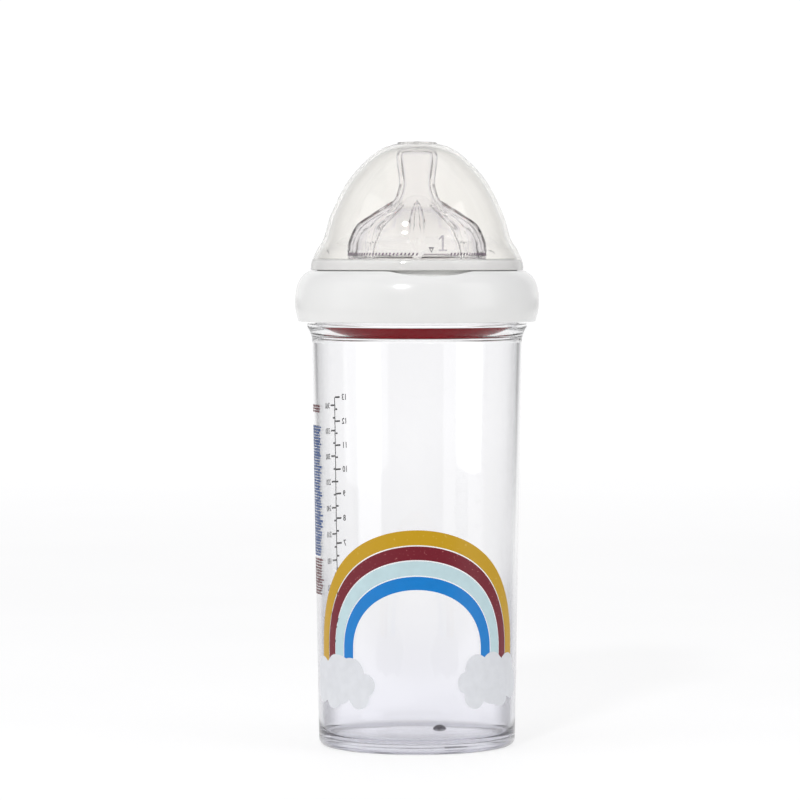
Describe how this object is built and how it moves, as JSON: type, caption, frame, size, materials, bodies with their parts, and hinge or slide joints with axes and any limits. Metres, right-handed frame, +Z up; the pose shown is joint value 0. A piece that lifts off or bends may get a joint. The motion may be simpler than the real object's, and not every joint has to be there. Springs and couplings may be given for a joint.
{
  "type": "baby bottle",
  "caption": "Wide-neck feeding bottle: drafted clear body with a threaded neck, screw collar, ribbed silicone teat, sealing disc and clear dome cap.",
  "frame": {"origin": "centre of the foot ring, on the surface the bottle stands on", "axes": "+Z up along the bottle's axis, -Y out of the front, where the arcs are printed, +X to the right of a viewer in front"},
  "size_m": [0.082, 0.082, 0.203],
  "materials": {
    "bottle_clear": "clear polished plastic",
    "disc_red": "dark red moulded plastic",
    "teat_silicone": "clear silicone rubber",
    "collar_white": "white moulded plastic, satin gloss",
    "cap_clear": "clear plastic with a faint warm haze",
    "print_ink": "screen-printed ink in mustard, burgundy, pale blue, blue and white",
    "scale_ink": "screen-printed dark brown ink"
  },
  "bodies": {
    "bottle": {"bottle": "bottle_clear"},
    "teat": {"teat": "teat_silicone", "sealing_disc": "disc_red"},
    "collar": {"collar": "collar_white"},
    "cap": {"cap": "cap_clear"}
  },
  "joints": [
    {"name": "teat_lift", "type": "slide", "parent": "bottle", "child": "teat", "axis": [0, 0, 1], "range_m": [0, 0.0064]},
    {"name": "collar_turn", "type": "hinge", "parent": "teat", "child": "collar", "pos_m": [0, 0, 0.15], "axis": [0, 0, 1], "range_deg": [0, 450]},
    {"name": "cap_lift", "type": "slide", "parent": "collar", "child": "cap", "axis": [0, 0, 1], "range_m": [0, 0.06]}
  ],
  "couplings": [
    {"joint": "teat_lift", "follows": "collar_turn", "m_per_rad": 0.00079577}
  ]
}
